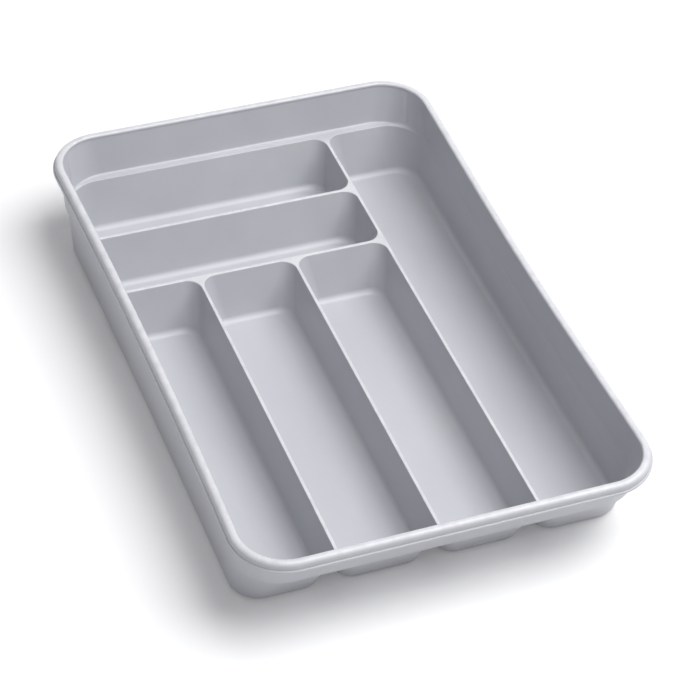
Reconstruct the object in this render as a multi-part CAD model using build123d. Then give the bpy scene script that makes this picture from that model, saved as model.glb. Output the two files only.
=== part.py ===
from build123d import *
import os

# Cutlery tray: one thin-walled moulding, six cups hung from a level land, standing on four soft feet.
# Millimetres. +X is to the right, +Y to the back and +Z up. The origin is the middle of the rectangle
# that the tray covers, on the table.

# Walls of the moulding
wall = 2.0
stand = 1.2
cup_depth = 29.5
land_drop = 25.0

# Opening inside the rim
inside_width = 243.0
inside_length = 380.0
rim_corner_radius = 27.0

# Turned-down rim, measured outward and down from the inner edge of its top
rim_reach = 5.4
rim_top_wall = 2.2
rim_drop = 6.0
rim_skirt = 1.6
rim_inner_round = 1.0
rim_outer_round = 2.2
bead_reach = 1.0
bead_height = 1.6
bead_round = 0.4

# Lean of the upper wall between rim and land
side_lean = 0.4
end_lean = 7.9

# Land: the level that carries the mouths of the cups
side_ledge = 0.7
end_ledge = 5.2
land_width = 2.0
mouth_round = 0.7
mouth_corner_radius = 12.0
tray_corner_mouth_radius = 24.0

# Cups: three columns as shares of the opening's width, the floor of the back cup, and the middle
# cup's floor as a share of it. The fourth column and the front row take what is left
left_cup_share = 0.2265
centre_cup_share = 0.247
right_cup_share = 0.243
back_floor_span = 28.3
middle_floor_share = 0.894

# Lean and rounding of the cups down to their floors. The floors' corner radii are shares of the
# back cup's floor, which is the narrowest that carries both
tray_side_lean = 2.2
divider_lean = 5.0
cup_end_lean = 12.6
floor_corner_share = 0.3535
tray_corner_floor_share = 0.5655
floor_round = 4.5
under_round = 1.5

# Soft feet in low collars under the floors
foot_radius = 5.5
foot_round = 0.5
collar_wall = 1.0
collar_height = 0.6
foot_clearance = 0.15

# Levels
floor_top = stand + wall
land_top = floor_top + cup_depth
rim_top = land_top + land_drop
neck = rim_top - rim_top_wall
half_width = inside_width / 2
half_length = inside_length / 2
mouth_half_width = half_width - side_lean - side_ledge
mouth_half_length = half_length - end_lean - end_ledge
middle_floor_span = middle_floor_share * back_floor_span
floor_corner_radius = floor_corner_share * back_floor_span
tray_corner_floor_radius = tray_corner_floor_share * back_floor_span


def outline(left, right, front, back, radii, level):
    """Level outline with its own radius at each corner, from the right-hand side round to the left."""
    front_right, back_right, back_left, front_left = radii
    edges = [
        Line((right, front + front_right), (right, back - back_right)),
        CenterArc((right - back_right, back - back_right), back_right, 0, 90),
        Line((right - back_right, back), (left + back_left, back)),
        CenterArc((left + back_left, back - back_left), back_left, 90, 90),
        Line((left, back - back_left), (left, front + front_left)),
        CenterArc((left + front_left, front + front_left), front_left, 180, 90),
        Line((left + front_left, front), (right - front_right, front)),
        CenterArc((right - front_right, front + front_right), front_right, 270, 90),
    ]
    return Pos(0, 0, level) * Wire(edges)


def tray_outline(side_inset, end_inset, grow, level):
    """Outline of the tray's walls, set in at the sides and ends and grown outward by a thickness."""
    reach_x = half_width - side_inset + grow
    reach_y = half_length - end_inset + grow
    radii = [rim_corner_radius + grow] * 4
    return outline(-reach_x, reach_x, -reach_y, reach_y, radii, level)


def between(lower, upper):
    """Solid between two level outlines."""
    return Solid.make_loft([lower, upper], True)


def at_depth(mouth_value, floor_value, depth):
    """Value at a depth below the land, in a straight line from its mouth to its floor."""
    return mouth_value + (floor_value - mouth_value) * depth / cup_depth


def cup_outline(cup, depth, grow):
    """Outline of a cup at a depth below the land, grown outward by a thickness."""
    left, right, front, back = cup
    on_left = left == -mouth_half_width
    on_right = right == mouth_half_width
    on_front = front == -mouth_half_length
    on_back = back == mouth_half_length
    left_in = at_depth(0, tray_side_lean if on_left else divider_lean, depth)
    right_in = at_depth(0, tray_side_lean if on_right else divider_lean, depth)
    end_in = at_depth(0, cup_end_lean, depth)
    inner_corner = at_depth(mouth_corner_radius, floor_corner_radius, depth)
    tray_corner = at_depth(tray_corner_mouth_radius, tray_corner_floor_radius, depth)
    at_tray_corner = [on_front and on_right, on_back and on_right, on_back and on_left, on_front and on_left]
    radii = [(tray_corner if at_corner else inner_corner) + grow for at_corner in at_tray_corner]
    return outline(
        left + left_in - grow,
        right - right_in + grow,
        front + end_in - grow,
        back - end_in + grow,
        radii,
        land_top - depth,
    )


def cup_solid(cup, grow):
    """Cup as a solid: its hollow where grow is zero, and its outer skin where grow is the wall."""
    depth = cup_depth + grow
    body = between(cup_outline(cup, depth, grow), cup_outline(cup, 0, grow))
    floor_edges = body.edges().group_by(Axis.Z)[0]
    return fillet(floor_edges, under_round if grow else floor_round)


def cup_table():
    """Left, right, front and back of each mouth, in the order back, middle, front row, long cup."""
    x0 = -mouth_half_width
    x1 = x0 + left_cup_share * inside_width
    x2 = x1 + land_width + centre_cup_share * inside_width
    x3 = x2 + land_width + right_cup_share * inside_width
    y0 = mouth_half_length
    y1 = y0 - back_floor_span - 2 * cup_end_lean
    y2 = y1 - land_width - middle_floor_span - 2 * cup_end_lean
    front = -mouth_half_length
    return {
        "back": (x0, x3, y1, y0),
        "middle": (x0, x3, y2, y1 - land_width),
        "left": (x0, x1, front, y2 - land_width),
        "centre": (x1 + land_width, x2, front, y2 - land_width),
        "right": (x2 + land_width, x3, front, y2 - land_width),
        "long": (x3 + land_width, mouth_half_width, front, y0),
    }


def side_wall():
    """Left wall that runs unbroken past the ends of the crosswise dividers and closes their hollows."""
    cups = cup_table()
    front = (cups["left"][2] + cups["left"][3]) / 2
    back = (cups["back"][2] + cups["back"][3]) / 2
    levels = []
    for depth in (cup_depth + wall - under_round, wall):
        inner = -mouth_half_width + at_depth(0, tray_side_lean, depth)
        corners = [(inner - wall, front), (inner, front), (inner, back), (inner - wall, back)]
        levels.append(Pos(0, 0, land_top - depth) * Wire(Polyline(*corners, close=True).edges()))
    return between(*levels)


def rim_section():
    """Cross-section of the rim: domed top, skirt outside the wall, and a bead along the skirt's foot."""
    outer = rim_reach
    lip_foot = -rim_drop
    bead_top = lip_foot + bead_height
    bead_out = outer + bead_reach
    points = [
        (0, -rim_top_wall),
        (0, 0),
        (outer, 0),
        (outer, bead_top),
        (bead_out, bead_top),
        (bead_out, lip_foot),
        (outer - rim_skirt, lip_foot),
        (outer - rim_skirt, -rim_top_wall),
    ]
    section = make_face(Polyline(*points, close=True))
    inner_top = section.vertices().group_by(Axis.Y)[-1].sort_by(Axis.X)[0]
    section = fillet(inner_top, rim_inner_round)
    outer_top = section.vertices().group_by(Axis.Y)[-1].sort_by(Axis.X)[-1]
    section = fillet(outer_top, rim_outer_round)
    bead = section.vertices().group_by(Axis.X)[-1]
    return fillet(bead, bead_round)


def rim():
    """The rim's section carried once round the opening."""
    path = tray_outline(0, 0, 0, rim_top)
    start = Plane(origin=(half_width, -half_length + rim_corner_radius, rim_top), x_dir=(1, 0, 0), z_dir=(0, -1, 0))
    return sweep(start * rim_section(), path=path)


def foot_places():
    """Names and centres of the feet, on the centre lines of the outer cups."""
    cups = cup_table()
    left = (cups["left"][0] + cups["left"][1]) / 2
    right = (cups["long"][0] + cups["long"][1]) / 2
    back = (cups["back"][2] + cups["back"][3]) / 2
    return {
        "foot_front_left": (left, -back),
        "foot_front_right": (right, -back),
        "foot_back_left": (left, back),
        "foot_back_right": (right, back),
    }


def foot():
    """Soft foot pad, its top against the moulding and its foot edge rounded, on the Z axis."""
    pad = Cylinder(foot_radius, stand, align=(Align.CENTER, Align.CENTER, Align.MIN))
    return fillet(pad.edges().group_by(Axis.Z)[0], foot_round)


def collar():
    """Low ring under a floor that holds a foot in place, on the Z axis."""
    inner = foot_radius + foot_clearance
    align = (Align.CENTER, Align.CENTER, Align.MIN)
    ring = Cylinder(inner + collar_wall, collar_height, align=align) - Cylinder(inner, collar_height, align=align)
    return Pos(0, 0, stand - collar_height) * ring


def moulding():
    """The whole tray as one thin skin, hollow under its dividers."""
    slope_side = at_depth(0, tray_side_lean, wall)
    slope_end = end_lean * wall / (land_drop - rim_top_wall)
    land_outer = tray_outline(side_lean, end_lean, wall, land_top)
    land_under = tray_outline(side_lean + slope_side, end_lean + slope_end, wall, land_top - wall)
    outer = between(land_outer, tray_outline(0, 0, wall, neck)) + between(land_under, land_outer)
    inner = between(tray_outline(side_lean, end_lean, 0, land_top), tray_outline(0, 0, 0, neck))
    for cup in cup_table().values():
        outer += cup_solid(cup, wall)
        inner += cup_solid(cup, 0)
    body = outer + side_wall() + rim() - inner
    near_land = body.faces().filter_by_position(Axis.Z, land_top - wall / 4, land_top + wall / 4)
    land = near_land.sort_by(SortBy.AREA)[-1]
    mouths = [edge for wire in land.inner_wires() for edge in wire.edges()]
    body = fillet(mouths, mouth_round)
    for x, y in foot_places().values():
        body += Pos(x, y, 0) * collar()
    return body


os.makedirs("parts", exist_ok=True)
export_step(moulding(), "parts/tray_moulding.step")
for name, (x, y) in foot_places().items():
    export_step(Pos(x, y, 0) * foot(), "parts/" + name + ".step")
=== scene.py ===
import math

import bmesh
import bpy
from mathutils import Euler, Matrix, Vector


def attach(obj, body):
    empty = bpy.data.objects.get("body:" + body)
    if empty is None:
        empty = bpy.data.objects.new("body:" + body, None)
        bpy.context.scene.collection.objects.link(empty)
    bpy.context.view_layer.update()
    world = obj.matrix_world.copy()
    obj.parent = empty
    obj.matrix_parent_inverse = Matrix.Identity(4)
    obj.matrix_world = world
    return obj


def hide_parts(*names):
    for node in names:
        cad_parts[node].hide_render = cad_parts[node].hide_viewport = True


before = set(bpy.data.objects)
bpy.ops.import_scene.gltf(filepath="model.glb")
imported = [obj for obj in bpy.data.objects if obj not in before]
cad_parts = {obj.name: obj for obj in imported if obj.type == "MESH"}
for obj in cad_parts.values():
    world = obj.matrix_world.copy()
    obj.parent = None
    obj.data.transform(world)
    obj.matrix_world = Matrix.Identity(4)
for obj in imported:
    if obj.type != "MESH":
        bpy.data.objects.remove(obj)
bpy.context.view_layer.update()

scene = bpy.context.scene
MM = 0.001

# Sizes of the moulding in millimetres, the same as in the part's source
WALL = 2.0
STAND = 1.2
CUP_DEPTH = 29.5
LAND_DROP = 25.0
HALF_WIDTH = 121.5
HALF_LENGTH = 190.0
RIM_CORNER = 27.0
RIM_REACH = 5.4
RIM_TOP_WALL = 2.2
RIM_DROP = 6.0
RIM_SKIRT = 1.6
BEAD_REACH = 1.0
BEAD_HEIGHT = 1.6
BEAD_ROUND = 0.4
SIDE_LEAN = 0.4
END_LEAN = 7.9
SIDE_LEDGE = 0.7
END_LEDGE = 5.2
LAND_WIDTH = 2.0
TRAY_CORNER_MOUTH = 24.0
LEFT_CUP, CENTRE_CUP, RIGHT_CUP = 55.04, 60.02, 59.05
BACK_FLOOR = 28.3
MIDDLE_FLOOR = 25.3
TRAY_SIDE_LEAN = 2.2
DIVIDER_LEAN = 5.0
CUP_END_LEAN = 12.6
FLOOR_CORNER = 10.0
TRAY_CORNER_FLOOR = 16.0
UNDER_ROUND = 1.5
FOOT_RADIUS = 5.5
COLLAR_WALL = 1.0
COLLAR_HEIGHT = 0.6
FOOT_CLEARANCE = 0.15

# Small forms, closer to the real tray than the source carries them. The floor's rounding is measured
# straight across it
RIM_INNER_ROUND = 1.6
RIM_OUTER_ROUND = 3.0
NECK_ROUND = 0.5
BEAD_CREASE = 0.3
MOUTH_ROUND = 0.4
MOUTH_CORNER = 9.0
LAND_CORNER = 30.0
FLOOR_ROUND = 5.6
COLLAR_ROUND = 0.15

# Ledges at the foot of the upper wall: the height of their rounding into it and its breadth at the
# sides, then how far the side ledges slope up, where in from the wall that begins and how soon it is full
LEDGE_ROUND = 1.0
LEDGE_SIDE = 0.05
SIDE_LEDGE_RISE = 2.5
RISE_START = 15.0
RISE_LENGTH = 10.0

# What cooling did to the real moulding: its long sides stand inwards at half length, most at the rim.
# Cuts across the tray give its faces the points to follow
SIDE_BOW = 3.2
FLOOR_BOW = 0.35
BOW_CUTS = 12
CUT_SPACING = 14.3

# Overlaps that keep welded faces from lying in one plane, and the strip laid round each mouth
SLAB_OVERLAP = 0.03
COLLAR_SINK = 0.3
MOUTH_STRIP = 0.05

# Steps round a corner of the tray, of a cup's inside and of its outside
TRAY_STEPS, CUP_STEPS, SKIN_STEPS = 28, 20, 14

FLOOR_TOP = STAND + WALL
LAND_TOP = FLOOR_TOP + CUP_DEPTH
RIM_TOP = LAND_TOP + LAND_DROP
NECK = RIM_TOP - RIM_TOP_WALL
LIP_FOOT = RIM_TOP - RIM_DROP
BEAD_TOP = LIP_FOOT + BEAD_HEIGHT
LAND_X = HALF_WIDTH - SIDE_LEAN
LAND_Y = HALF_LENGTH - END_LEAN
MOUTH_X = LAND_X - SIDE_LEDGE
MOUTH_Y = LAND_Y - END_LEDGE


# Working in edit mode

def start_piece(primitive, middle, spans, **settings):
    """Add a primitive at its place, stretched to its size in millimetres, and open it for editing."""
    bpy.ops.object.select_all(action="DESELECT")
    primitive(location=[c * MM for c in middle], **settings)
    piece = bpy.context.object
    piece.scale = [c * MM for c in spans]
    bpy.ops.object.transform_apply(location=True, rotation=True, scale=True)
    bpy.ops.object.mode_set(mode="EDIT")
    return piece


def pick(kind, wanted):
    """Select only the vertices, edges or faces of the open piece that are wanted."""
    bpy.ops.mesh.select_mode(type=kind)
    bpy.ops.mesh.select_all(action="DESELECT")
    data = bpy.context.edit_object.data
    mesh = bmesh.from_edit_mesh(data)
    for element in {"VERT": mesh.verts, "EDGE": mesh.edges, "FACE": mesh.faces}[kind]:
        if wanted(element):
            element.select_set(True)
    mesh.select_flush_mode()
    bmesh.update_edit_mesh(data)


def close_piece():
    """Leave edit mode."""
    bpy.ops.object.mode_set(mode="OBJECT")


def join_pieces(pieces):
    """Join pieces into the first of them and open it for editing."""
    bpy.ops.object.select_all(action="DESELECT")
    for piece in pieces:
        piece.select_set(True)
    bpy.context.view_layer.objects.active = pieces[0]
    if len(pieces) > 1:
        bpy.ops.object.join()
    bpy.ops.object.mode_set(mode="EDIT")
    return pieces[0]


def level_of(element):
    """Height in millimetres of a vertex, or of an edge or face that is level; None where it slopes."""
    verts = element.verts if hasattr(element, "verts") else [element]
    heights = [v.co.z / MM for v in verts]
    return heights[0] if max(heights) - min(heights) < 0.01 else None


def at_level(element, level):
    """Whether all of a vertex, edge or face lies at a height in millimetres."""
    found = level_of(element)
    return found is not None and abs(found - level) < 0.02


def reach(vert, half_width=HALF_WIDTH, half_length=HALF_LENGTH, corner=RIM_CORNER):
    """Distance outside a rounded outline, in millimetres: the opening's, where no other is given."""
    x = max(abs(vert.co.x) / MM - half_width + corner, 0)
    y = max(abs(vert.co.y) / MM - half_length + corner, 0)
    return math.hypot(x, y) - corner


def on_outline(edge, level, out):
    """Whether an edge runs level round the opening, at a height and a distance outside it."""
    return at_level(edge, level) and all(abs(reach(v) - out) < 0.05 for v in edge.verts)


def bevel(width, steps, kind="OFFSET", affect="EDGES"):
    """Round what is selected."""
    bpy.ops.mesh.bevel(
        offset=width * MM, offset_type=kind, segments=steps, affect=affect, clamp_overlap=False, loop_slide=False
    )


def push(rise, shrink_x=1, shrink_y=1):
    """Extrude what is selected straight up or down, and draw it in towards the tray's middle."""
    bpy.ops.mesh.extrude_region_move(TRANSFORM_OT_translate={"value": (0, 0, rise * MM)})
    if (shrink_x, shrink_y) != (1, 1):
        bpy.ops.transform.resize(value=(shrink_x, shrink_y, 1), center_override=(0, 0, 0))


# The rim and upper wall

def rim_block():
    """Block with the rim's outside: rounded corners, the bead, and an open top set in by the rim's reach."""
    across, along = HALF_WIDTH + RIM_REACH, HALF_LENGTH + RIM_REACH
    middle, spans = (0, 0, RIM_TOP - RIM_DROP / 2), (2 * across, 2 * along, RIM_DROP)
    block = start_piece(bpy.ops.mesh.primitive_cube_add, middle, spans, size=1)
    pick("EDGE", lambda e: level_of(e) is None)
    bevel(RIM_CORNER + RIM_REACH, TRAY_STEPS)
    pick("FACE", lambda f: abs(f.normal.z) < 0.1)
    bpy.ops.mesh.bisect(plane_co=(0, 0, BEAD_TOP * MM), plane_no=(0, 0, 1))
    pick("FACE", lambda f: abs(f.normal.z) < 0.1 and f.calc_center_median().z < BEAD_TOP * MM)
    outward = {"value": BEAD_REACH * MM, "use_even_offset": True}
    bpy.ops.mesh.extrude_region_shrink_fatten(TRANSFORM_OT_shrink_fatten=outward)
    pick("FACE", lambda f: at_level(f, RIM_TOP))
    bpy.ops.mesh.inset(thickness=RIM_REACH * MM, use_even_offset=True)
    push(-RIM_TOP_WALL)
    bpy.ops.mesh.delete(type="ONLY_FACE")
    close_piece()
    return block


def ledge_steps():
    """Half width, half length and height of each level of the rounding between wall and ledge, downwards."""
    turn = math.atan2(NECK - LAND_TOP, END_LEAN)
    radius = LEDGE_ROUND / (1 - math.cos(turn))
    steps = []
    for share in (1, 0.75, 0.5, 0.25, 0):
        inward = radius * (math.tan(turn / 2) - math.sin(turn * share))
        height = LAND_TOP + radius * (1 - math.cos(turn * share))
        steps.append((LAND_X - LEDGE_SIDE * (1 - share), LAND_Y - inward, height))
    return steps


def rim_and_wall():
    """Turned-down rim with its bead, and the upper wall down to the land, from one block."""
    block = rim_block()
    steps = ledge_steps()
    wide, long, height = steps[0]
    land = start_piece(bpy.ops.mesh.primitive_plane_add, (0, 0, height), (2 * wide, 2 * long, 1), size=1)
    bpy.ops.mesh.select_all(action="SELECT")
    bevel(LAND_CORNER, TRAY_STEPS, affect="VERTICES")
    bpy.ops.mesh.select_all(action="SELECT")
    bpy.ops.mesh.delete(type="ONLY_FACE")
    close_piece()
    join_pieces([block, land])
    pick("EDGE", lambda e: at_level(e, height) or on_outline(e, NECK, 0))
    bpy.ops.mesh.bridge_edge_loops()
    pick("EDGE", lambda e: at_level(e, height))
    for before, after in zip(steps, steps[1:]):
        push(after[2] - before[2], after[0] / before[0], after[1] / before[1])
    pick("EDGE", lambda e: at_level(e, LAND_TOP))
    bpy.ops.mesh.edge_face_add()
    pick("EDGE", lambda e: on_outline(e, NECK, 0))
    bevel(NECK_ROUND, 3)
    pick("EDGE", lambda e: on_outline(e, RIM_TOP, 0))
    bevel(RIM_INNER_ROUND, 8)
    pick("EDGE", lambda e: on_outline(e, RIM_TOP, RIM_REACH))
    bevel(RIM_OUTER_ROUND, 12)
    pick("EDGE", lambda e: any(on_outline(e, level, RIM_REACH + BEAD_REACH) for level in (LIP_FOOT, BEAD_TOP)))
    bevel(BEAD_ROUND, 4)
    pick("EDGE", lambda e: on_outline(e, BEAD_TOP, RIM_REACH))
    bevel(BEAD_CREASE, 3)
    pick("FACE", lambda f: at_level(f, LIP_FOOT) and len(f.verts) > 4)
    bpy.ops.mesh.inset(thickness=RIM_SKIRT * MM, use_even_offset=True)
    push(RIM_DROP - RIM_TOP_WALL)
    bpy.ops.mesh.inset(thickness=(RIM_REACH - RIM_SKIRT - WALL) * MM, use_even_offset=True)
    wide, long = HALF_WIDTH + WALL, HALF_LENGTH + WALL
    push(LAND_TOP - NECK, 1 - SIDE_LEAN / wide, 1 - END_LEAN / long)
    side_slope, end_slope = TRAY_SIDE_LEAN * WALL / CUP_DEPTH, END_LEAN * WALL / (NECK - LAND_TOP)
    push(-WALL, 1 - side_slope / (wide - SIDE_LEAN), 1 - end_slope / (long - END_LEAN))
    close_piece()
    return block


# The cups

def cup_table():
    """Left, right, front and back of each mouth: back, middle, left, centre, right and long cup."""
    x0 = -MOUTH_X
    x1 = x0 + LEFT_CUP
    x2 = x1 + LAND_WIDTH + CENTRE_CUP
    x3 = x2 + LAND_WIDTH + RIGHT_CUP
    y1 = MOUTH_Y - BACK_FLOOR - 2 * CUP_END_LEAN
    y2 = y1 - LAND_WIDTH - MIDDLE_FLOOR - 2 * CUP_END_LEAN
    return [
        (x0, x3, y1, MOUTH_Y),
        (x0, x3, y2, y1 - LAND_WIDTH),
        (x0, x1, -MOUTH_Y, y2 - LAND_WIDTH),
        (x1 + LAND_WIDTH, x2, -MOUTH_Y, y2 - LAND_WIDTH),
        (x2 + LAND_WIDTH, x3, -MOUTH_Y, y2 - LAND_WIDTH),
        (x3 + LAND_WIDTH, MOUTH_X, -MOUTH_Y, MOUTH_Y),
    ]


def cup_plate(cup, depth, grow, steps):
    """Level plate with a cup's outline at a depth below the land, its corners rounded."""
    left, right, front, back = cup
    share = depth / CUP_DEPTH
    on_left, on_right = left == -MOUTH_X, right == MOUTH_X
    on_front, on_back = front == -MOUTH_Y, back == MOUTH_Y
    left += (TRAY_SIDE_LEAN if on_left else DIVIDER_LEAN) * share - grow
    right -= (TRAY_SIDE_LEAN if on_right else DIVIDER_LEAN) * share - grow
    front += CUP_END_LEAN * share - grow
    back -= CUP_END_LEAN * share - grow
    middle = ((left + right) / 2, (front + back) / 2, LAND_TOP - depth)
    plate = start_piece(bpy.ops.mesh.primitive_plane_add, middle, (right - left, back - front, 1), size=1)
    corners = (
        (right, front, on_right and on_front),
        (right, back, on_right and on_back),
        (left, back, on_left and on_back),
        (left, front, on_left and on_front),
    )
    for x, y, at_tray_corner in corners:
        mouth, floor = (TRAY_CORNER_MOUTH, TRAY_CORNER_FLOOR) if at_tray_corner else (MOUTH_CORNER, FLOOR_CORNER)
        corner = Vector((x * MM, y * MM, middle[2] * MM))
        pick("VERT", lambda v: (v.co - corner).length < 0.01 * MM)
        bevel(mouth + (floor - mouth) * share + grow, steps, affect="VERTICES")
    close_piece()
    return plate


def bridge_plates(upper, lower):
    """Walls between two plates, with a floor and no lid, left open for editing."""
    piece = join_pieces([upper, lower])
    bpy.ops.mesh.select_all(action="SELECT")
    bpy.ops.mesh.delete(type="ONLY_FACE")
    bpy.ops.mesh.select_all(action="SELECT")
    bpy.ops.mesh.bridge_edge_loops()
    lowest = min(v.co.z for v in bmesh.from_edit_mesh(piece.data).verts) / MM
    pick("EDGE", lambda e: at_level(e, lowest))
    bpy.ops.mesh.edge_face_add()
    return piece, lowest


def at_mouth(edge):
    """Whether an edge lies between a cup's wall and the level strip round its mouth."""
    return at_level(edge, LAND_TOP) and sorted(at_level(face, LAND_TOP) for face in edge.link_faces) == [False, True]


def cup_hollow(cup):
    """Inside of a cup: a flat strip round its mouth, its rounded edge, walls and filleted floor."""
    piece, lowest = bridge_plates(cup_plate(cup, 0, 0, CUP_STEPS), cup_plate(cup, CUP_DEPTH, 0, CUP_STEPS))
    pick("EDGE", lambda e: at_level(e, lowest))
    bevel(FLOOR_ROUND, 12, kind="WIDTH")
    close_piece()
    strip = cup_plate(cup, 0, MOUTH_ROUND + MOUTH_STRIP, CUP_STEPS)
    strip.location.z = LAND_DROP * MM
    bpy.ops.object.transform_apply(location=True)
    piece = join_pieces([piece, strip])
    pick("FACE", lambda f: at_level(f, RIM_TOP))
    bpy.ops.mesh.delete(type="ONLY_FACE")
    pick("EDGE", lambda e: at_level(e, LAND_TOP) or at_level(e, RIM_TOP))
    bpy.ops.mesh.bridge_edge_loops()
    pick("VERT", lambda v: at_level(v, RIM_TOP))
    bpy.ops.transform.translate(value=(0, 0, -LAND_DROP * MM))
    pick("EDGE", at_mouth)
    bevel(MOUTH_ROUND, 5)
    close_piece()
    return piece


def cup_skin(cup):
    """Outside of a cup as a closed body whose top lies inside the land's thickness."""
    upper = cup_plate(cup, WALL / 2, WALL, SKIN_STEPS)
    piece, lowest = bridge_plates(upper, cup_plate(cup, CUP_DEPTH + WALL, WALL, SKIN_STEPS))
    pick("EDGE", lambda e: at_level(e, LAND_TOP - WALL / 2))
    bpy.ops.mesh.edge_face_add()
    pick("EDGE", lambda e: at_level(e, lowest))
    bevel(UNDER_ROUND, 6)
    bpy.ops.mesh.select_all(action="SELECT")
    bpy.ops.mesh.normals_make_consistent(inside=False)
    close_piece()
    return piece


def side_wall(cups):
    """Slab along the left wall that closes the hollows of the crosswise dividers."""
    front = (cups[2][2] + cups[2][3]) / 2
    back = (cups[0][2] + cups[0][3]) / 2
    low, high = STAND + UNDER_ROUND, LAND_TOP - WALL / 2
    outer = -MOUTH_X - WALL - SLAB_OVERLAP
    middle = (outer + WALL / 2, (front + back) / 2, (low + high) / 2)
    slab = start_piece(bpy.ops.mesh.primitive_cube_add, middle, (WALL, back - front, high - low), size=1)
    for level in (low, high):
        pick("VERT", lambda v: at_level(v, level))
        shift = TRAY_SIDE_LEAN * (LAND_TOP - level) / CUP_DEPTH
        bpy.ops.transform.translate(value=(shift * MM, 0, 0))
    close_piece()
    return slab


def weld(body, others):
    """Unite the body with overlapping pieces and take those away."""
    bpy.ops.object.select_all(action="DESELECT")
    bpy.context.view_layer.objects.active = body
    body.select_set(True)
    for other in others:
        union = body.modifiers.new("union", "BOOLEAN")
        union.operation = "UNION"
        union.solver = "EXACT"
        union.object = other
        bpy.ops.object.modifier_apply(modifier="union")
        bpy.data.objects.remove(other, do_unlink=True)


def foot_collar(x, y):
    """Low ring under a floor, from a short cylinder hollowed from below."""
    inner = FOOT_RADIUS + FOOT_CLEARANCE
    outer = inner + COLLAR_WALL
    top = STAND + WALL / 2
    low = STAND - COLLAR_HEIGHT
    middle, spans = (x, y, (low + top) / 2), (outer, outer, top - low)
    collar = start_piece(bpy.ops.mesh.primitive_cylinder_add, middle, spans, vertices=64, radius=1, depth=1)
    pick("FACE", lambda f: at_level(f, low))
    bpy.ops.mesh.inset(thickness=COLLAR_WALL * MM)
    push(COLLAR_HEIGHT + COLLAR_SINK)
    pick("EDGE", lambda e: at_level(e, low))
    bevel(COLLAR_ROUND, 3)
    close_piece()
    return collar


def ease_and_bow(tray):
    """Slope the narrow side ledges up to the wall, and draw the long sides inwards at half length."""
    lowest, highest = LAND_TOP - MOUTH_ROUND - 0.01, LAND_TOP + LEDGE_ROUND + 0.02
    for vert in tray.data.vertices:
        out = reach(vert, MOUTH_X, MOUTH_Y, TRAY_CORNER_MOUTH)
        inside = -reach(vert, LAND_X, LAND_Y, LAND_CORNER)
        if out > 0 and inside > -WALL / 4 and lowest < vert.co.z / MM < highest:
            near = min(max((abs(vert.co.x) / MM - LAND_X + RISE_START) / RISE_LENGTH, 0), 1)
            vert.co.z += SIDE_LEDGE_RISE * near * near * (3 - 2 * near) * out / (out + max(inside, 0)) * MM
        x, y, z = (c / MM for c in vert.co)
        along = max(1 - (y / HALF_LENGTH) ** 2, 0) ** (2 if x > 0 else 1)
        across = min(abs(x) / HALF_WIDTH, 1) ** 3
        rise = FLOOR_BOW + (1 - FLOOR_BOW) * z / RIM_TOP
        vert.co.x -= math.copysign(SIDE_BOW * along * across * rise * MM, x)


def build_tray():
    """The moulding: block, cup skins and side wall welded, cups let into the land, and collars under the floors."""
    cups = cup_table()
    tray = rim_and_wall()
    weld(tray, [cup_skin(cup) for cup in cups] + [side_wall(cups)])
    join_pieces([tray] + [cup_hollow(cup) for cup in cups])
    pick("FACE", lambda f: at_level(f, LAND_TOP) and abs(f.normal.z) > 0.9 and f.calc_area() > 0.05)
    bpy.ops.mesh.delete(type="ONLY_FACE")
    pick("EDGE", lambda e: at_level(e, LAND_TOP) and len(e.link_faces) == 1)
    bpy.ops.mesh.fill(use_beauty=True)
    bpy.ops.mesh.select_all(action="SELECT")
    bpy.ops.mesh.remove_doubles(threshold=0.01 * MM)
    for k in range(-BOW_CUTS, BOW_CUTS + 1):
        bpy.ops.mesh.select_all(action="SELECT")
        bpy.ops.mesh.bisect(plane_co=(0, k * CUT_SPACING * MM, 0), plane_no=(0, 1, 0))
    bpy.ops.mesh.select_all(action="SELECT")
    bpy.ops.mesh.normals_make_consistent(inside=False)
    close_piece()
    ease_and_bow(tray)
    left, right = (cups[2][0] + cups[2][1]) / 2, (cups[5][0] + cups[5][1]) / 2
    back = (cups[0][2] + cups[0][3]) / 2
    join_pieces([tray] + [foot_collar(x, y) for x in (left, right) for y in (-back, back)])
    close_piece()
    tray.name = tray.data.name = "tray_surface"
    return tray


def shade(piece, angle):
    """Smooth shading with crisp edges over an angle, its normals led by the large faces."""
    bpy.ops.object.select_all(action="DESELECT")
    piece.select_set(True)
    bpy.context.view_layer.objects.active = piece
    bpy.ops.object.shade_smooth_by_angle(angle=math.radians(angle))
    weighted = piece.modifiers.new("weighted", "WEIGHTED_NORMAL")
    weighted.mode = "FACE_AREA"
    weighted.weight = 80
    weighted.keep_sharp = True
    bpy.ops.object.modifier_apply(modifier="weighted")
    piece.select_set(False)


# Materials

def colour(code):
    """Linear colour of an sRGB hex code."""
    parts = [int(code[k:k + 2], 16) / 255 for k in (0, 2, 4)]
    return [c / 12.92 if c <= 0.04045 else ((c + 0.055) / 1.055) ** 2.4 for c in parts] + [1.0]


def add_node(tree, kind, inputs=None, **settings):
    """Add a node with its settings; an input is a value, or a socket of another node to link from."""
    node = tree.nodes.new("ShaderNode" + kind)
    for name, value in settings.items():
        setattr(node, name, value)
    for name, value in (inputs or {}).items():
        if isinstance(value, bpy.types.NodeSocket):
            tree.links.new(value, node.inputs[name])
        else:
            node.inputs[name].default_value = value
    return node


def start_material(name):
    made = bpy.data.materials.new(name)
    made.use_nodes = True
    made.node_tree.nodes.clear()
    return made, made.node_tree


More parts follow.
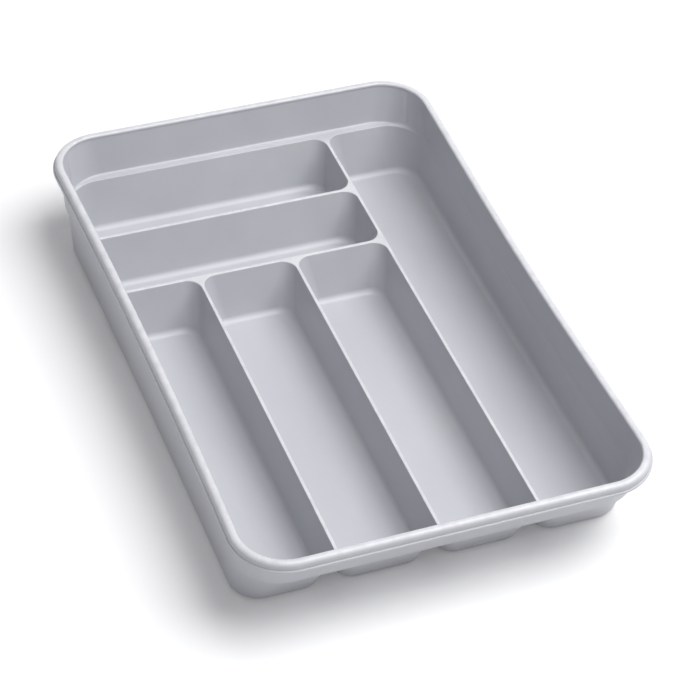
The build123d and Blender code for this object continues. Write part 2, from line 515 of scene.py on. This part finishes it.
def moulded_plastic():
    """Silver-grey polypropylene, injection moulded in a satin-polished tool.

    It gives the eye a soft broad gloss, faint flow clouds drawn along the tray, an orange-peel of a few
    millimetres, a fine grain (0.8 mm here, coarser than the real one so that it shows), hair scratches
    from use, a painted highlight that makes the rim top and the land of the dividers paler, and smoother
    edges there, where hands and the drawer have polished the rim and the land.
    """
    made, tree = start_material("silver_grey_polypropylene")
    place = add_node(tree, "TexCoord").outputs["Object"]
    along = add_node(tree, "Mapping", {"Vector": place, "Scale": (1, 0.35, 1)}).outputs["Vector"]
    cloud = add_node(tree, "TexNoise", {"Vector": along, "Scale": 22, "Detail": 4, "Roughness": 0.55}).outputs["Fac"]
    tint = add_node(tree, "ValToRGB", {"Fac": cloud})
    tint.color_ramp.elements[0].position = 0.3
    tint.color_ramp.elements[0].color = colour("B5B6BC")
    tint.color_ramp.elements[1].position = 0.7
    tint.color_ramp.elements[1].color = colour("BCBDC2")

    split = add_node(tree, "SeparateXYZ", {"Vector": place})
    level = split.outputs["Z"]
    to_rim = {"Value": level, "From Min": (RIM_TOP - 1.6) * MM, "From Max": (RIM_TOP - 0.2) * MM}
    rim = add_node(tree, "MapRange", to_rim).outputs["Result"]
    up_to_land = {"Value": level, "From Min": (LAND_TOP - 0.7) * MM, "From Max": (LAND_TOP - 0.1) * MM}
    below = add_node(tree, "MapRange", up_to_land).outputs["Result"]
    down_to_land = {"Value": level, "From Min": (LAND_TOP + 0.9) * MM, "From Max": (LAND_TOP + 0.1) * MM}
    above = add_node(tree, "MapRange", down_to_land).outputs["Result"]
    land = add_node(tree, "Math", {0: below, 1: above}, operation="MULTIPLY").outputs["Value"]
    aside = add_node(tree, "Math", {0: split.outputs["X"]}, operation="ABSOLUTE").outputs["Value"]
    endways = add_node(tree, "Math", {0: split.outputs["Y"]}, operation="ABSOLUTE").outputs["Value"]
    from_sides = {"Value": aside, "From Min": (MOUTH_X - 1) * MM, "From Max": (MOUTH_X - 8) * MM}
    in_x = add_node(tree, "MapRange", from_sides).outputs["Result"]
    from_ends = {"Value": endways, "From Min": (MOUTH_Y - 1) * MM, "From Max": (MOUTH_Y - 8) * MM}
    in_y = add_node(tree, "MapRange", from_ends).outputs["Result"]
    inward = add_node(tree, "Math", {0: in_x, 1: in_y}, operation="MULTIPLY").outputs["Value"]
    dividers = add_node(tree, "Math", {0: land, 1: inward}, operation="MULTIPLY").outputs["Value"]
    # The rim top and the land of the dividers carry a painted highlight: in patches their colour is mixed up to half
    # way towards pale EAEAED. The same mask also lowers their roughness.
    edges = add_node(tree, "Math", {0: rim, 1: dividers}, operation="MAXIMUM").outputs["Value"]
    patch_noise = add_node(tree, "TexNoise", {"Vector": place, "Scale": 160, "Detail": 3}).outputs["Fac"]
    patchy = {"Value": patch_noise, "From Min": 0.35, "From Max": 0.6, "To Min": 0.6}
    uneven = add_node(tree, "MapRange", patchy).outputs["Result"]
    highlight_and_polish = add_node(tree, "Math", {0: edges, 1: uneven}, operation="MULTIPLY").outputs["Value"]
    paler = add_node(tree, "Math", {0: highlight_and_polish, 1: 0.5}, operation="MULTIPLY").outputs["Value"]
    blend = {0: paler, 6: tint.outputs["Color"], 7: colour("EAEAED")}
    body = add_node(tree, "Mix", blend, data_type="RGBA").outputs[2]

    lines = []
    for turn, density in ((0.08, 420), (-0.5, 380), (1.3, 350)):
        drawn = {"Vector": place, "Rotation": (0, 0, turn), "Scale": (density, 9, 9)}
        streak = add_node(tree, "Mapping", drawn).outputs["Vector"]
        hair = add_node(tree, "TexNoise", {"Vector": streak, "Scale": 1, "Detail": 2}).outputs["Fac"]
        line = add_node(tree, "MapRange", {"Value": hair, "From Min": 0.66, "From Max": 0.74})
        lines.append(line.outputs["Result"])
    two = add_node(tree, "Math", {0: lines[0], 1: lines[1]}, operation="MAXIMUM").outputs["Value"]
    scratches = add_node(tree, "Math", {0: two, 1: lines[2]}, operation="MAXIMUM").outputs["Value"]

    clouded = {"Value": cloud, "From Min": 0.3, "From Max": 0.7, "To Min": 0.33, "To Max": 0.41}
    satin = add_node(tree, "MapRange", clouded).outputs["Result"]
    polish = add_node(tree, "MapRange", {"Value": highlight_and_polish, "To Min": 0, "To Max": -0.1}).outputs["Result"]
    scuffed = add_node(tree, "MapRange", {"Value": scratches, "To Min": 0, "To Max": 0.08}).outputs["Result"]
    smoother = add_node(tree, "Math", {0: satin, 1: polish}, operation="ADD").outputs["Value"]
    rough = add_node(tree, "Math", {0: smoother, 1: scuffed}, operation="ADD").outputs["Value"]

    grain = add_node(tree, "TexNoise", {"Vector": place, "Scale": 1250, "Detail": 2}).outputs["Fac"]
    peel = add_node(tree, "TexNoise", {"Vector": place, "Scale": 210, "Detail": 1}).outputs["Fac"]
    waved = add_node(tree, "Bump", {"Height": peel, "Strength": 0.12, "Distance": 0.0003}).outputs["Normal"]
    fine = {"Height": grain, "Strength": 0.12, "Distance": 0.00006, "Normal": waved}
    grained = add_node(tree, "Bump", fine).outputs["Normal"]
    cut_in = {"Height": scratches, "Strength": 0.1, "Distance": 0.00005, "Normal": grained}
    scored = add_node(tree, "Bump", cut_in, invert=True).outputs["Normal"]
    shader = add_node(tree, "BsdfPrincipled", {"Base Color": body, "Roughness": rough, "IOR": 1.49, "Normal": scored})
    add_node(tree, "OutputMaterial", {"Surface": shader.outputs["BSDF"]})
    return made


def foot_rubber():
    """Moulded thermoplastic rubber: dark grey, matt, with a dusty grain of half a millimetre."""
    made, tree = start_material("dark_grey_rubber")
    place = add_node(tree, "TexCoord").outputs["Object"]
    dust = add_node(tree, "TexNoise", {"Vector": place, "Scale": 2000, "Detail": 4}).outputs["Fac"]
    tint = add_node(tree, "ValToRGB", {"Fac": dust})
    tint.color_ramp.elements[0].color = colour("2E2E30")
    tint.color_ramp.elements[1].color = colour("4A4A4D")
    rough = add_node(tree, "MapRange", {"Value": dust, "To Min": 0.65, "To Max": 0.85}).outputs["Result"]
    bump = add_node(tree, "Bump", {"Height": dust, "Strength": 0.3, "Distance": 0.0001}).outputs["Normal"]
    surface = {"Base Color": tint.outputs["Color"], "Roughness": rough, "Normal": bump}
    shader = add_node(tree, "BsdfPrincipled", surface)
    add_node(tree, "OutputMaterial", {"Surface": shader.outputs["BSDF"]})
    return made


# The object

tray = build_tray()
shade(tray, 30)
tray.data.materials.append(moulded_plastic())
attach(tray, "root")
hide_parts("tray_moulding")

rubber = foot_rubber()
for name in ("foot_front_left", "foot_front_right", "foot_back_left", "foot_back_right"):
    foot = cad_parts[name]
    foot.data.materials.clear()
    foot.data.materials.append(rubber)


# Stage: white table top that keeps the shadow, white surroundings, a large softbox above on the right, and
# a weak fill from the front left

def white_table():
    """White table top; seen by the camera or in gloss it is lifted to the white of the background."""
    bpy.ops.object.select_all(action="DESELECT")
    bpy.ops.mesh.primitive_plane_add(size=14, location=(0, 0, 0))
    table = bpy.context.object
    table.name = "table_top"
    made, tree = start_material("white_table_top")
    painted = {"Base Color": colour("F2F2F2"), "Roughness": 0.8, "Specular IOR Level": 0.2}
    matt = add_node(tree, "BsdfPrincipled", painted)
    rays = add_node(tree, "LightPath")
    camera_or_gloss = {0: rays.outputs["Is Camera Ray"], 1: rays.outputs["Is Glossy Ray"]}
    seen = add_node(tree, "Math", camera_or_gloss, operation="MAXIMUM")
    lift = add_node(tree, "Math", {0: seen.outputs["Value"], 1: 0.1}, operation="MULTIPLY")
    glow = add_node(tree, "Emission", {"Strength": lift.outputs["Value"]})
    both = add_node(tree, "AddShader", {0: matt.outputs["BSDF"], 1: glow.outputs["Emission"]})
    add_node(tree, "OutputMaterial", {"Surface": both.outputs["Shader"]})
    table.data.materials.append(made)
    table.select_set(False)


def white_surroundings():
    """Even cool light from all round, and plain white where the camera or a gloss looks past the table."""
    world = bpy.data.worlds.new("white_surroundings")
    scene.world = world
    world.use_nodes = True
    tree = world.node_tree
    tree.nodes.clear()
    rays = add_node(tree, "LightPath")
    camera_or_gloss = {0: rays.outputs["Is Camera Ray"], 1: rays.outputs["Is Glossy Ray"]}
    seen = add_node(tree, "Math", camera_or_gloss, operation="MAXIMUM")
    or_glass = {0: seen.outputs["Value"], 1: rays.outputs["Is Transmission Ray"]}
    through = add_node(tree, "Math", or_glass, operation="MAXIMUM")
    ambient = add_node(tree, "Background", {"Color": colour("F9FAFF"), "Strength": 0.28})
    white = add_node(tree, "Background", {"Color": (1, 1, 1, 1), "Strength": 1.0})
    choice = {0: through.outputs["Value"], 1: ambient.outputs["Background"], 2: white.outputs["Background"]}
    either = add_node(tree, "MixShader", choice)
    add_node(tree, "OutputWorld", {"Surface": either.outputs["Shader"]})


def softbox(name, place, aim, size, power):
    """Square area light at a place, turned to a point."""
    light = bpy.data.lights.new(name, "AREA")
    light.shape = "SQUARE"
    light.size = size
    light.energy = power
    lamp = bpy.data.objects.new(name, light)
    scene.collection.objects.link(lamp)
    lamp.location = place
    lamp.rotation_euler = (Vector(aim) - Vector(place)).to_track_quat("-Z", "Y").to_euler()


white_table()
white_surroundings()
softbox("overhead_softbox", (0.9, -0.25, 2.1), (0, 0, 0.03), 2.0, 65)
softbox("front_fill", (-1.2, -1.8, 0.8), (0, 0, 0.03), 1.5, 4)

# Camera: its place, turn and focal length in pixels were solved from the rim, the land and the floor lines
SENSOR = 36
FOCAL_PIXELS = 2746.76
FRAME_PIXELS = 700
camera_data = bpy.data.cameras.new("camera")
camera_data.sensor_width = SENSOR
camera_data.lens = SENSOR * FOCAL_PIXELS / FRAME_PIXELS
camera = bpy.data.objects.new("camera", camera_data)
camera.location = (-0.49184, -1.12466, 1.14711)
pitch_and_turn = Euler((math.radians(180 - 132.64335), 0, math.radians(-24.05553))).to_matrix()
roll = Euler((0, 0, math.radians(4.54902))).to_matrix()
camera.rotation_euler = (pitch_and_turn @ roll).to_euler()
scene.collection.objects.link(camera)
scene.camera = camera

scene.view_settings.view_transform = "Standard"
